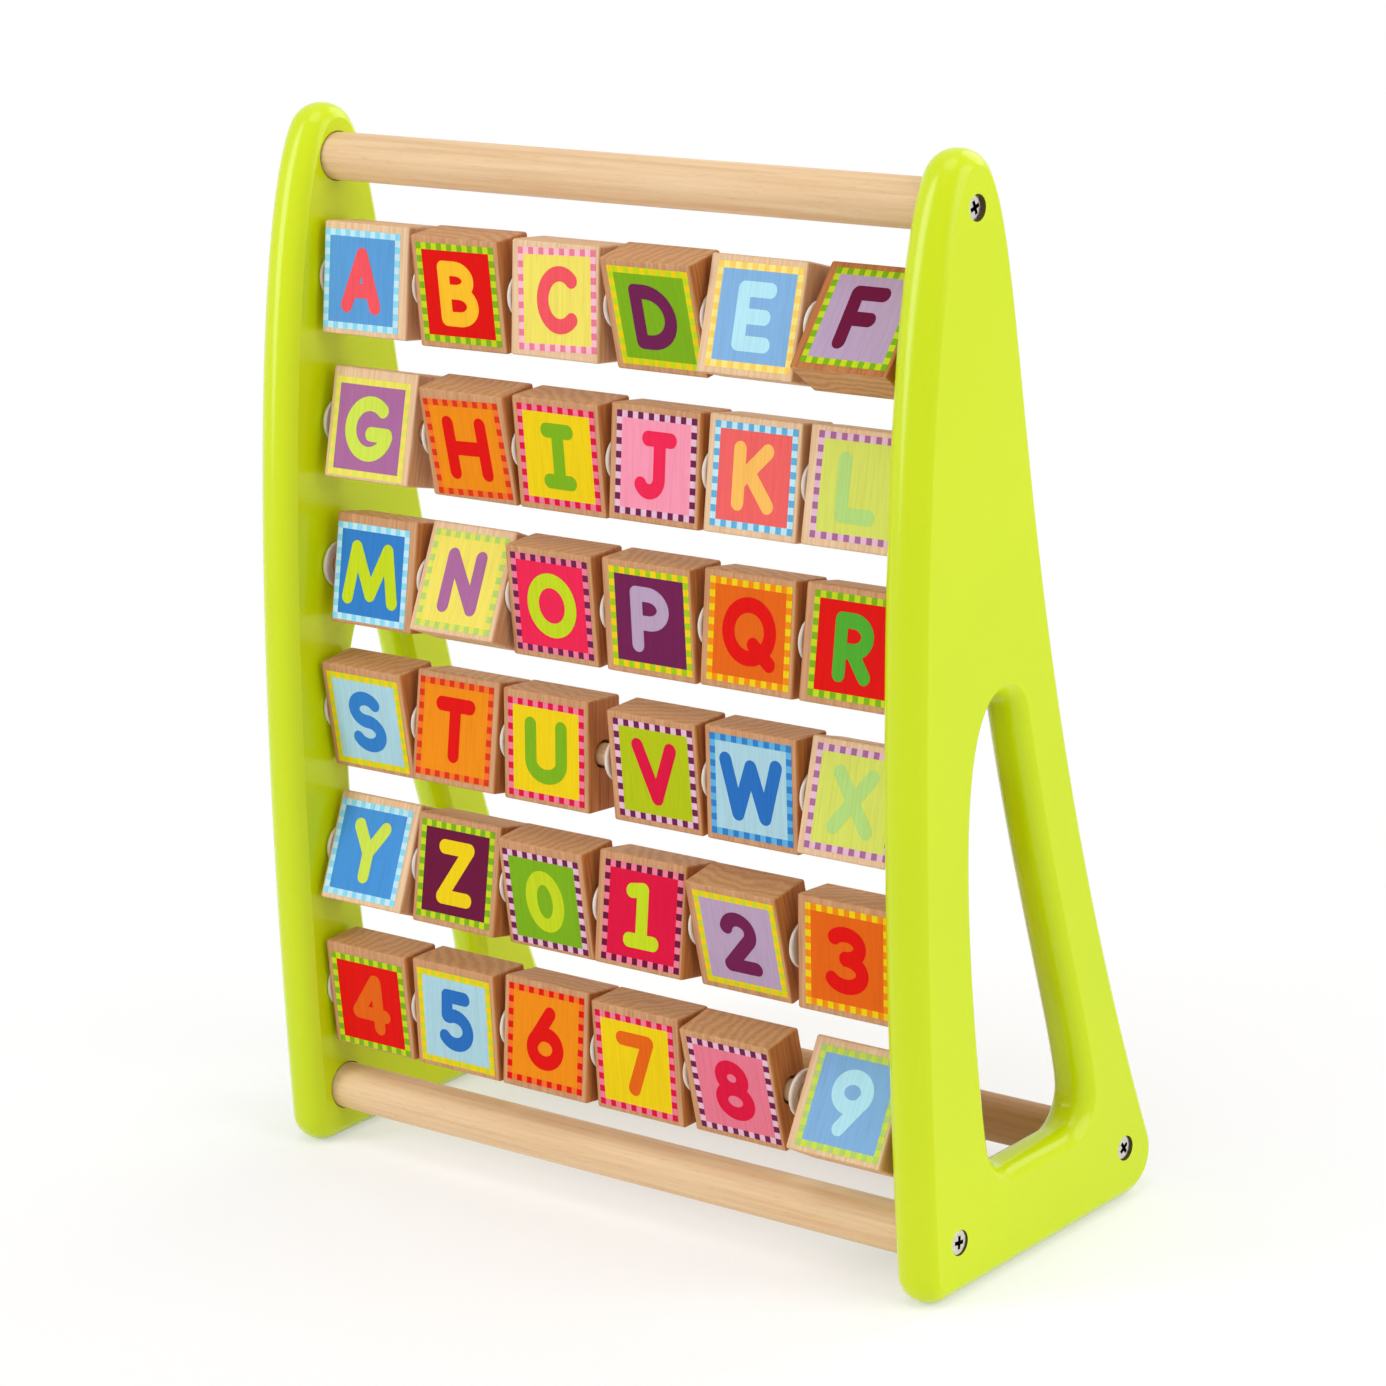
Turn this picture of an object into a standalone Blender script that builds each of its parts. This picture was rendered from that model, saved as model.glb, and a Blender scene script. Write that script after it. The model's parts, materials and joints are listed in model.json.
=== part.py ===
"""Alphabet board: six rows of wooden blocks that spin on rods between two fin-shaped side panels."""

import math

import bmesh
import bpy
from mathutils import Matrix, Vector

mm = 0.001

# Lettering of the rows, top row first, and how far each block's top is turned back at rest, in degrees.
rows = ("ABCDEF", "GHIJKL", "MNOPQR", "STUVWX", "YZ0123", "456789")
turned_back = {
    "A": 9, "B": -2, "C": 7, "D": -9, "E": 18, "F": 40,
    "G": 15, "H": -6, "I": -1, "J": 8, "K": 11, "L": 14,
    "M": 12, "N": 26, "O": -1, "P": 1, "Q": 9, "R": 12,
    "S": -5, "T": 11, "U": 5, "V": -1, "W": 3, "X": 18,
    "Y": 24, "Z": 12, "0": -4, "1": 10, "2": -9, "3": 4,
    "4": -2, "5": 1, "6": 8, "7": 0, "8": -9, "9": 31,
}
# The blocks have some end play on their rod. Each row gives the shares of it at the seven discs.
play_shares = (
    (0.7, 2.1, 2.2, 1.2, 0.0, 1.3, 0.3),
    (2.4, 3.9, 0.2, 0.6, 0.2, 0.0, 0.5),
    (3.6, 0.1, 0.0, 1.2, 1.1, 0.7, 1.1),
    (0.0, 0.8, 0.4, 6.2, 0.3, 0.1, 0.0),
    (0.6, 0.0, 0.2, 1.2, 0.9, 3.1, 1.8),
    (0.0, 0.0, 0.7, 0.3, 0.0, 6.3, 0.5),
)
# Where each disc rests in its gap: 0 beside its left neighbour, 1 beside its right one.
disc_rests = (
    (0.5, 1, 1, 1, 1, 1, 0.5),
    (0.5, 1, 1, 1, 1, 1, 0.5),
    (0.1, 1, 1, 1, 1, 1, 0.5),
    (1, 1, 1, 0.9, 1, 1, 0.5),
    (1, 1, 1, 1, 1, 0.5, 0.5),
    (1, 1, 1, 1, 1, 0.6, 0.5),
)

# Blocks
block_width = 35.0 * mm
block_height = 35.0 * mm
block_depth = 14.5 * mm
block_edge = 0.8 * mm

# Rods and the spacer discs on them
rod_diameter = 7.0 * mm
rod_seat_depth = 8.0 * mm
bore_over_rod = 1.8 * mm
disc_diameter = 15.0 * mm
disc_thickness = 1.4 * mm
disc_rim = 0.9 * mm
row_play = 7.8 * mm

# Rails
rail_diameter = 15.0 * mm
rail_seat_depth = 6.0 * mm
rail_chamfer = 0.8 * mm

# Room left for the blocks to spin past each other and past the rails
row_finger_gap = 7.95 * mm
front_rail_gap = 8.5 * mm
top_rail_gap = 10.5 * mm
row_forward = 2.3 * mm
lean_angle = math.radians(5.8)

# Side panels
panel_thickness = 15.0 * mm
panel_edge = 5.0 * mm
rail_height = 17.6 * mm
base_spread = 85.0 * mm
front_margin = 14.9 * mm
rear_margin = 16.8 * mm
front_foot_radius = 9.0 * mm
rear_foot_radius = 14.2 * mm
nose_radius = 11.0 * mm
nose_back = 1.0 * mm
nose_up = 5.2 * mm

# Window through each panel
window_front_post = 33.7 * mm
window_rear_post = 35.3 * mm
window_base = 31.6 * mm
window_top = 174.0 * mm
window_nose_radius = 6.9 * mm
window_nose_back = 48.5 * mm
window_front_radius = 11.0 * mm
window_rear_radius = 10.0 * mm

# Countersunk screws, one through each panel into each rail end
screw_head_diameter = 8.0 * mm
screw_head_height = 2.2 * mm
screw_shank_diameter = 4.0 * mm
screw_length = 30.0 * mm
screw_tip = 5.0 * mm
screw_recess = 1.0 * mm

# Clearances
fit_gap = 0.3 * mm
cutter_margin = 1.0 * mm

# Facets
rail_sides = 20
rod_sides = 12
screw_sides = 12
panel_edge_steps = 2
curve_steps = 13
arc_step = math.radians(18)
crease_angle = math.radians(35)
sharpest_miter = 0.5

# Sizes that follow from the ones above
block_half_diagonal = math.hypot(block_height, block_depth) / 2
row_pitch = 2 * block_half_diagonal + row_finger_gap
rod_radius = rod_diameter / 2
rail_radius = rail_diameter / 2
bore_radius = rod_radius + bore_over_rod / 2
disc_gap = disc_thickness + 2 * fit_gap
blocks_per_row = len(rows[0])
inner_width = blocks_per_row * block_width + (blocks_per_row + 1) * disc_gap + row_play
panel_inner = inner_width / 2
panel_outer = panel_inner + panel_thickness
panel_depth = front_margin + base_spread + rear_margin
first_row_up = front_rail_gap + rail_radius + block_half_diagonal
rail_span = first_row_up + (len(rows) - 1) * row_pitch + block_half_diagonal + rail_radius + top_rail_gap
front_edge = -panel_depth / 2
rear_edge = panel_depth / 2
lean = Vector((math.sin(lean_angle), math.cos(lean_angle)))
forward = Vector((-lean.y, lean.x))
front_rail_place = Vector((front_edge + front_margin, rail_height))
rear_rail_place = Vector((rear_edge - rear_margin, rail_height))
top_rail_place = front_rail_place + rail_span * lean


def clear_scene():
    for item in list(bpy.data.objects):
        bpy.data.objects.remove(item, do_unlink=True)


def make_material(name, colour, roughness, metallic=0.0):
    material = bpy.data.materials.new(name)
    material.use_nodes = True
    shader = material.node_tree.nodes["Principled BSDF"]
    shader.inputs["Base Color"].default_value = (*colour, 1.0)
    shader.inputs["Roughness"].default_value = roughness
    shader.inputs["Metallic"].default_value = metallic
    return material


def add_object(name, bm, material=None):
    """Turn a bmesh into a named object, smooth on its round stretches."""
    bmesh.ops.recalc_face_normals(bm, faces=bm.faces)
    mesh = bpy.data.meshes.new(name)
    bm.to_mesh(mesh)
    bm.free()
    mesh.shade_smooth()
    mesh.set_sharp_from_angle(angle=crease_angle)
    item = bpy.data.objects.new(name, mesh)
    bpy.context.scene.collection.objects.link(item)
    if material is not None:
        mesh.materials.append(material)
    return item


def arc(centre, radius, start, end):
    """Points on a circle from one angle to another, both ends included."""
    steps = max(2, math.ceil(abs(end - start) / arc_step))
    angles = [start + (end - start) * i / steps for i in range(steps + 1)]
    return [centre + radius * Vector((math.cos(a), math.sin(a))) for a in angles]


def curve(start, start_handle, end_handle, end):
    """Inner points of a cubic curve, without its two ends."""
    points = []
    for i in range(1, curve_steps):
        t = i / curve_steps
        s = 1 - t
        points.append(s**3 * start + 3 * s * s * t * start_handle + 3 * s * t * t * end_handle + t**3 * end)
    return points


def along_circle(angle):
    """Direction of travel on a circle at an angle, anticlockwise."""
    return Vector((-math.sin(angle), math.cos(angle)))


def fin_outline(front, rear, base, front_radius, rear_radius, nose, nose_r, angles, handles):
    """Fin in the side view: flat base, round feet, a bulging front edge, a round nose and a hollow rear edge.

    angles are where the front foot, the nose's front, the nose's rear and the rear foot meet the edges.
    handles are the curves' handle lengths as shares of their chords, in the same order.
    """
    front_join, nose_front, nose_rear, rear_join = (math.radians(a) for a in angles)
    front_centre = Vector((front + front_radius, base + front_radius))
    rear_centre = Vector((rear - rear_radius, base + rear_radius))
    front_foot = arc(front_centre, front_radius, math.radians(270), front_join)
    top = arc(nose, nose_r, nose_front, nose_rear)
    rear_foot = arc(rear_centre, rear_radius, rear_join, math.radians(-90))
    front_chord = (top[0] - front_foot[-1]).length
    rear_chord = (rear_foot[0] - top[-1]).length
    front_curve = curve(
        front_foot[-1],
        front_foot[-1] - along_circle(front_join) * handles[0] * front_chord,
        top[0] + along_circle(nose_front) * handles[1] * front_chord,
        top[0],
    )
    rear_curve = curve(
        top[-1],
        top[-1] - along_circle(nose_rear) * handles[2] * rear_chord,
        rear_foot[0] + along_circle(rear_join) * handles[3] * rear_chord,
        rear_foot[0],
    )
    return front_foot + front_curve + top + rear_curve + rear_foot


def inset(points, distance):
    """Move a clockwise outline in by a distance, along the normals of its corners."""
    moved = []
    count = len(points)
    for i, point in enumerate(points):
        before = (point - points[i - 1]).normalized()
        after = (points[(i + 1) % count] - point).normalized()
        normal = Vector((before.y + after.y, -before.x - after.x)).normalized()
        turn = max(sharpest_miter, normal.dot(Vector((after.y, -after.x))))
        moved.append(point + normal * distance / turn)
    return moved


def plate(outline, hole, thickness, edge, edge_steps, hole_edge):
    """Plate across X with a rounded outer edge and a hole whose mouths have their own rounding."""
    bm = bmesh.new()
    half = thickness / 2
    levels = []
    for i in range(edge_steps + 1):
        angle = math.pi / 2 * i / edge_steps
        levels.append((1 - math.cos(angle), 1 - math.sin(angle)))
    stations = [(-1, *level) for level in reversed(levels)] + [(1, *level) for level in levels]

    def rings(points, radius, sign):
        """Vertex loops from the far face to the near face, pulled in or out by the rounding."""
        loops = []
        for side, inward, below in stations if radius > 0 else ((-1, 0, 0), (1, 0, 0)):
            x = side * (half - radius * below) if radius > 0 else side * half
            flat = inset(points, sign * radius * inward)
            loops.append([bm.verts.new((x, p.x, p.y)) for p in flat])
        for lower, upper in zip(loops, loops[1:]):
            count = len(lower)
            for i in range(count):
                j = (i + 1) % count
                bm.faces.new((lower[i], lower[j], upper[j], upper[i]))
        return loops

    outer_loops = rings(outline, edge, 1)
    hole_loops = rings(hole, hole_edge, -1)
    for end in (0, -1):
        rim = []
        for loop in (outer_loops[end], hole_loops[end]):
            count = len(loop)
            rim += [bm.edges.get((loop[i], loop[(i + 1) % count])) for i in range(count)]
        bmesh.ops.triangle_fill(bm, use_beauty=True, use_dissolve=False, edges=rim)
    return bm


def turned(profile, sides):
    """Solid turned about the X axis from a profile of (x, radius) that starts and ends on the axis."""
    bm = bmesh.new()
    rings = []
    for x, radius in profile:
        if radius == 0:
            rings.append([bm.verts.new((x, 0, 0))])
            continue
        ring = []
        for i in range(sides):
            angle = 2 * math.pi * i / sides
            ring.append(bm.verts.new((x, radius * math.cos(angle), radius * math.sin(angle))))
        rings.append(ring)
    for left, right in zip(rings, rings[1:]):
        for i in range(sides):
            j = (i + 1) % sides
            corners = [left[i % len(left)], left[j % len(left)], right[j % len(right)], right[i % len(right)]]
            bm.faces.new(list(dict.fromkeys(corners)))
    return bm


def place_across(item, place, x=0.0):
    """Put an object on an axis that runs across the board at a place in the side view."""
    item.location = (x, place.x, place.y)


def row_place(row):
    """Where a row's rod passes in the side view, with row 0 at the top."""
    up = first_row_up + (len(rows) - 1 - row) * row_pitch
    return front_rail_place + up * lean + row_forward * forward


def row_gaps(row):
    """Widths of the seven gaps along a rod, from the left panel to the right one."""
    shares = play_shares[row]
    return [disc_gap + row_play * share / sum(shares) for share in shares]


def panel_outline():
    nose = top_rail_place + Vector((nose_back, nose_up))
    return fin_outline(
        front_edge, rear_edge, 0.0, front_foot_radius, rear_foot_radius, nose, nose_radius,
        angles=(180, 143, 31, 19), handles=(0.47, 0.11, 0.11, 0.57),
    )


def window_outline():
    nose = Vector((front_edge + window_nose_back, window_top - window_nose_radius))
    return fin_outline(
        front_edge + window_front_post, rear_edge - window_rear_post, window_base,
        window_front_radius, window_rear_radius, nose, window_nose_radius,
        angles=(189, 117, 9, 5), handles=(0.09, 0.19, 0.46, 0.145),
    )


def screw_hole_profile():
    """Rail seat, screw hole and countersink of one panel, from its inner face (x = 0) outwards."""
    seat = rail_radius + fit_gap
    shank = screw_shank_diameter / 2 + fit_gap
    head = screw_head_diameter / 2 + fit_gap
    head_top = panel_thickness - screw_recess
    cone_start = head_top - screw_head_height - fit_gap
    return (
        (-cutter_margin, 0), (-cutter_margin, seat), (rail_seat_depth, seat), (rail_seat_depth, shank),
        (cone_start, shank), (head_top - fit_gap, head),
        (panel_thickness + cutter_margin, head), (panel_thickness + cutter_margin, 0),
    )


def rod_hole_profile():
    seat = rod_radius + fit_gap
    return ((-cutter_margin, 0), (-cutter_margin, seat), (rod_seat_depth, seat), (rod_seat_depth, 0))


def add_panel(name, side, material):
    """Side panel with its window, rail seats, screw holes and blind rod holes. side is -1 or 1."""
    bm = plate(panel_outline(), window_outline(), panel_thickness, panel_edge, panel_edge_steps, panel_edge)
    panel = add_object(name, bm, material)
    panel.location.x = side * (panel_inner + panel_thickness / 2)
    holes = bmesh.new()
    rail_places = (top_rail_place, front_rail_place, rear_rail_place)
    rails = [(place, screw_hole_profile(), rail_sides) for place in rail_places]
    rods = [(row_place(row), rod_hole_profile(), rod_sides) for row in range(len(rows))]
    for place, profile, sides in rails + rods:
        hole = turned(profile, sides)
        bmesh.ops.recalc_face_normals(hole, faces=hole.faces)
        mirror = Matrix.Diagonal((side, 1, 1, 1))
        hole.transform(Matrix.Translation((side * panel_inner, place.x, place.y)) @ mirror)
        scrap = bpy.data.meshes.new("hole")
        hole.to_mesh(scrap)
        hole.free()
        holes.from_mesh(scrap)
        bpy.data.meshes.remove(scrap)
    cutter = add_object(name + "_holes", holes)
    cutter.hide_render = True
    cutter.display_type = "WIRE"
    cut = panel.modifiers.new("seats and holes", "BOOLEAN")
    cut.operation = "DIFFERENCE"
    cut.solver = "EXACT"
    cut.object = cutter


def rail_profile():
    """Rail with chamfered ends and a pilot hole for a screw in each end."""
    end = panel_inner + rail_seat_depth - fit_gap
    pilot = screw_shank_diameter / 2 + fit_gap
    pilot_end = panel_outer - screw_recess - screw_length - fit_gap
    half = [(pilot_end, 0), (pilot_end, pilot), (end, pilot), (end, rail_radius - rail_chamfer)]
    half.append((end - rail_chamfer, rail_radius))
    return half + [(-x, r) for x, r in reversed(half)]


def rod_profile(row):
    """Rod with its seven discs, each at its rest in the gap between two blocks."""
    end = panel_inner + rod_seat_depth - fit_gap
    disc_radius = disc_diameter / 2
    profile = [(-end, 0), (-end, rod_radius)]
    x = -panel_inner
    for gap, rest in zip(row_gaps(row), disc_rests[row]):
        left = x + fit_gap + (gap - disc_gap) * rest
        right = left + disc_thickness
        profile += [(left, rod_radius), (left, disc_radius - disc_rim), ((left + right) / 2, disc_radius)]
        profile += [(right, disc_radius - disc_rim), (right, rod_radius)]
        x += gap + block_width
    return profile + [(end, rod_radius), (end, 0)]


def block_outline():
    """Block seen along its rod, with eased edges, clockwise."""
    high = block_height / 2
    deep = block_depth / 2
    corners = []
    for y, z in ((-deep, -high), (-deep, high), (deep, high), (deep, -high)):
        along_y = Vector((y - math.copysign(block_edge, y), z))
        along_z = Vector((y, z - math.copysign(block_edge, z)))
        corners += [along_y, along_z] if y * z > 0 else [along_z, along_y]
    return corners


def bore_outline():
    """Bore of a block, as a clockwise ring."""
    angles = [-2 * math.pi * i / rod_sides for i in range(rod_sides)]
    return [bore_radius * Vector((math.cos(a), math.sin(a))) for a in angles]


def add_row(row, rod_material, block_material):
    """One rod with its discs, and the blocks that spin on it."""
    place = row_place(row)
    rod = add_object(f"row_rod_{row + 1}", turned(rod_profile(row), rod_sides), rod_material)
    place_across(rod, place)
    x = -panel_inner
    for letter, gap in zip(rows[row], row_gaps(row)):
        x += gap + block_width / 2
        bm = plate(block_outline(), bore_outline(), block_width, block_edge, 1, 0)
        block = add_object(f"block_{letter.lower()}", bm, block_material)
        place_across(block, place, x)
        block.rotation_euler.x = -math.radians(turned_back[letter])
        x += block_width / 2


def screw_profile():
    """Countersunk screw along X, its head's top at x = 0 and its point at negative x."""
    head = screw_head_diameter / 2
    shank = screw_shank_diameter / 2
    return (
        (0, 0), (0, head), (-screw_head_height, shank),
        (-screw_length + screw_tip, shank), (-screw_length, 0),
    )


def add_screws(material):
    head_top = panel_outer - screw_recess
    places = {"top": top_rail_place, "front": front_rail_place, "rear": rear_rail_place}
    for name, place in places.items():
        for side_name, side in (("left", -1), ("right", 1)):
            bm = turned(screw_profile(), screw_sides)
            bm.transform(Matrix.Diagonal((side, 1, 1, 1)))
            screw = add_object(f"screw_{name}_{side_name}", bm, material)
            place_across(screw, place, side * head_top)


def main():
    clear_scene()
    lacquer = make_material("lime green lacquer", (0.66, 0.80, 0.06), 0.35)
    beech = make_material("beech rail", (0.72, 0.52, 0.30), 0.55)
    rod_finish = make_material("white painted rod and discs", (0.80, 0.76, 0.70), 0.45)
    block_wood = make_material("oiled beech block", (0.60, 0.37, 0.19), 0.5)
    nickel = make_material("nickel plated screw", (0.75, 0.74, 0.72), 0.25, 1.0)
    add_panel("side_panel_left", -1, lacquer)
    add_panel("side_panel_right", 1, lacquer)
    rails = {"top_rail": top_rail_place, "front_rail": front_rail_place, "rear_rail": rear_rail_place}
    for name, place in rails.items():
        place_across(add_object(name, turned(rail_profile(), rail_sides), beech), place)
    for row in range(len(rows)):
        add_row(row, rod_finish, block_wood)
    add_screws(nickel)


main()
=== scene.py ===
import json
import math

import bmesh
import bpy
from mathutils import Matrix, Vector
from mathutils.geometry import delaunay_2d_cdt


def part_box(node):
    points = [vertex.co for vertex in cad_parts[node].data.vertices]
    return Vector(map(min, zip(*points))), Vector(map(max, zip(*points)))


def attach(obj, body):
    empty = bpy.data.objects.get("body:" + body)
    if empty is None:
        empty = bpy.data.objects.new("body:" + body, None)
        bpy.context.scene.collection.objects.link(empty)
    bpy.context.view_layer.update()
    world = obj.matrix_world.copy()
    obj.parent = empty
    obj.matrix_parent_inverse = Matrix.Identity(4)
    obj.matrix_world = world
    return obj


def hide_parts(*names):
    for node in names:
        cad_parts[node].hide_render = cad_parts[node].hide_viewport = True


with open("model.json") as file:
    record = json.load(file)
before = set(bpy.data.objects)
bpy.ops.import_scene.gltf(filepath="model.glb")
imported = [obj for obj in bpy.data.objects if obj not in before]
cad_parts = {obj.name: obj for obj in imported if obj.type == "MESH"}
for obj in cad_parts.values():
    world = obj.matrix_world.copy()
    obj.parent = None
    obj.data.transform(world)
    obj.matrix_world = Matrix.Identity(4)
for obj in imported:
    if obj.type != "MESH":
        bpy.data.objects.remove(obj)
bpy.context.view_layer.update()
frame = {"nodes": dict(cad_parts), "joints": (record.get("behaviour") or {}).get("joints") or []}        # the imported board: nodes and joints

mm = 0.001
scene = bpy.context.scene
print("frame loaded:", len(frame["nodes"]), "nodes")


# Helpers shared by all pieces

def linear(code):
    # sRGB hex to linear RGBA
    parts = [int(code[i:i + 2], 16) / 255 for i in (0, 2, 4)]
    return [c / 12.92 if c <= 0.04045 else ((c + 0.055) / 1.055) ** 2.4 for c in parts] + [1.0]


def addNode(tree, kind, inputs=(), stops=(), **settings):
    # one node with its settings, its input values or links, and its ramp stops
    node = tree.nodes.new(kind)
    for name, value in settings.items():
        setattr(node, name, value)
    for key, value in dict(inputs).items():
        if isinstance(value, bpy.types.NodeSocket):
            tree.links.new(value, node.inputs[key])
        else:
            node.inputs[key].default_value = value
    for i, (position, code) in enumerate(stops):
        element = node.color_ramp.elements[i] if i < 2 else node.color_ramp.elements.new(position)
        element.position = position
        element.color = linear(code)
    return node


def startMaterial(name, **sockets):
    material = bpy.data.materials.new(name)
    material.use_nodes = True
    tree = material.node_tree
    shader = tree.nodes["Principled BSDF"]
    for socket, value in sockets.items():
        shader.inputs[socket.replace("_", " ")].default_value = value
    return material, tree, shader


def linkShader(tree, shader, **sockets):
    for socket, source in sockets.items():
        tree.links.new(source, shader.inputs[socket.replace("_", " ")])


def endMaterial(tree, shader, colour, height, strength, depth):
    # the colour, and a fine relief of a real depth
    bump = addNode(tree, "ShaderNodeBump", {"Height": height, "Strength": strength, "Distance": depth})
    linkShader(tree, shader, Base_Color=colour, Normal=bump.outputs["Normal"])


def addObject(name, data):
    item = bpy.data.objects.new(name, data)
    scene.collection.objects.link(item)
    return item


def addPiece(name, mesh, material, body, replaced=()):
    # a finished piece at the origin, riding on its body
    piece = addObject(name, mesh)
    if not mesh.materials:
        mesh.materials.append(material)
    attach(piece, body)
    if replaced:
        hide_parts(*replaced)


def toMesh(name, bm, smooth=True, matrix=None, sharp=40):
    bmesh.ops.recalc_face_normals(bm, faces=bm.faces)
    mesh = bpy.data.meshes.new(name)
    bm.to_mesh(mesh)
    bm.free()
    if smooth:
        mesh.shade_smooth()
        mesh.set_sharp_from_angle(angle=math.radians(sharp))
    if matrix is not None:
        mesh.transform(matrix)
    return mesh


def settled(holder):
    # what the modifiers make, as a plain mesh in place of the object
    graph = bpy.context.evaluated_depsgraph_get()
    mesh = bpy.data.meshes.new_from_object(holder.evaluated_get(graph), depsgraph=graph)
    bpy.data.objects.remove(holder)
    return mesh


def evenNormals(mesh):
    # weighted normals keep the big flats flat beside their rounded edges
    holder = addObject("normals", mesh)
    weighted = holder.modifiers.new("weighted", "WEIGHTED_NORMAL")
    weighted.keep_sharp = True
    return settled(holder)


def growMesh(name, tree, base, values):
    # run a node tree on a base mesh and keep the plain result
    holder = addObject(name, base)
    modifier = holder.modifiers.new("grow", "NODES")
    modifier.node_group = tree
    for item in tree.interface.items_tree:
        if item.in_out == "INPUT" and item.name in values:
            modifier[item.identifier] = values[item.name]
    return settled(holder)


def startTree(name, sockets):
    # a geometry node tree with named inputs
    tree = bpy.data.node_groups.new(name, "GeometryNodeTree")
    tree.interface.new_socket("Geometry", in_out="INPUT", socket_type="NodeSocketGeometry")
    for socket, kind in sockets:
        tree.interface.new_socket(socket, in_out="INPUT", socket_type="NodeSocket" + kind)
    tree.interface.new_socket("Geometry", in_out="OUTPUT", socket_type="NodeSocketGeometry")
    return tree, addNode(tree, "NodeGroupInput").outputs


def endTree(tree, geometry, finish):
    # every tree ends in plain meshes with a material
    real = addNode(tree, "GeometryNodeRealizeInstances", {"Geometry": geometry})
    finished = addNode(tree, "GeometryNodeSetMaterial", {"Geometry": real.outputs[0], "Material": finish})
    addNode(tree, "NodeGroupOutput", {"Geometry": finished.outputs[0]})
    return tree


# Materials

def patches(tree, place, size, detail, stops):
    # noise with spots of a real size, and two tones that follow it
    noise = addNode(tree, "ShaderNodeTexNoise", {"Vector": place, "Scale": 1 / size, "Detail": detail})
    tone = addNode(tree, "ShaderNodeValToRGB", {"Fac": noise.outputs["Fac"]}, stops=stops)
    return noise.outputs["Fac"], tone.outputs["Color"]


def streaks(tree, place, sizes, detail):
    # noise drawn out along the grain, with streaks of a real size on each axis
    lie = addNode(tree, "ShaderNodeMapping", {"Vector": place, "Scale": [1 / size for size in sizes]})
    noise = addNode(tree, "ShaderNodeTexNoise", {"Vector": lie.outputs[0], "Scale": 1.0, "Detail": detail})
    return noise.outputs["Fac"]


def makeLimeLacquer():
    # sprayed lacquer on sanded board: even lime colour, a soft wide gloss and a faint orange peel
    material, tree, shader = startMaterial(
        "sprayed lime lacquer on board", Roughness=0.2, IOR=1.5, Specular_IOR_Level=0.34)
    place = addNode(tree, "ShaderNodeTexCoord").outputs["Object"]
    cloudSize = 90 * mm
    _, tone = patches(tree, place, cloudSize, 2.0, ((0.3, "C9DD02"), (0.7, "CFE106")))
    peelSize = 1.6 * mm
    peel = addNode(tree, "ShaderNodeTexNoise", {"Vector": place, "Scale": 1 / peelSize, "Detail": 1.0})
    endMaterial(tree, shader, tone, peel.outputs["Fac"], strength=0.12, depth=0.05 * mm)
    return material


def makeDrilledBoardShade():
    # bare board in the drilled holes, its brown fibre made dark as painted shade in the holes: rough, with
    # fine cutter scratches
    material, tree, shader = startMaterial("drilled fibreboard", Roughness=0.85, Specular_IOR_Level=0.1)
    place = addNode(tree, "ShaderNodeTexCoord").outputs["Object"]
    fibreSize = 0.4 * mm
    # painted shade: the wall tones are dark for the shade in the holes
    fibre, tone = patches(tree, place, fibreSize, 2.0, ((0.3, "4A4024"), (0.7, "6A5C34")))
    endMaterial(tree, shader, tone, fibre, strength=0.3, depth=0.05 * mm)
    return material


def makeTurnedBeech():
    # turned and sanded beech dowel under thin lacquer: pale, straight streaks and short brown ray flecks; a
    # darker brown tone is painted shade on the rear rail
    material, tree, shader = startMaterial("turned beech dowel", Roughness=0.48, IOR=1.45)
    place = addNode(tree, "ShaderNodeTexCoord").outputs["Object"]
    streakLength, streakWidth = 60 * mm, 1.6 * mm
    streak = streaks(tree, place, (streakLength, streakWidth, streakWidth), 4.0)
    fleckLength, fleckWidth, fleckShare = 5 * mm, 0.5 * mm, 0.14
    fleck = streaks(tree, place, (fleckLength, fleckWidth, fleckWidth), 1.0)
    wood = addNode(tree, "ShaderNodeValToRGB", {"Fac": streak},
                   stops=((0.3, "DDB587"), (0.72, "EACBA0"), (0.5, "E4C094")))
    spots = addNode(tree, "ShaderNodeValToRGB", {"Fac": fleck},
                    stops=((0.60, "FFFFFF"), (0.70, "C9A27A")))
    # painted shade: a darker brown for the rear rail in the shade behind the rows
    dark = addNode(tree, "ShaderNodeValToRGB", {"Fac": streak},
                   stops=((0.3, "A87848"), (0.72, "C09060")))
    toneAndShade = addNode(tree, "ShaderNodeAttribute", attribute_name="plankToneAndShade").outputs["Fac"]
    toned = addNode(tree, "ShaderNodeMix", {0: toneAndShade, 6: dark.outputs["Color"], 7: wood.outputs["Color"]},
                    data_type="RGBA")
    both = addNode(tree, "ShaderNodeMix", {0: fleckShare, 6: toned.outputs[2], 7: spots.outputs["Color"]},
                   data_type="RGBA", blend_type="MULTIPLY")
    endMaterial(tree, shader, both.outputs[2], streak, strength=0.15, depth=0.06 * mm)
    return material


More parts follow.
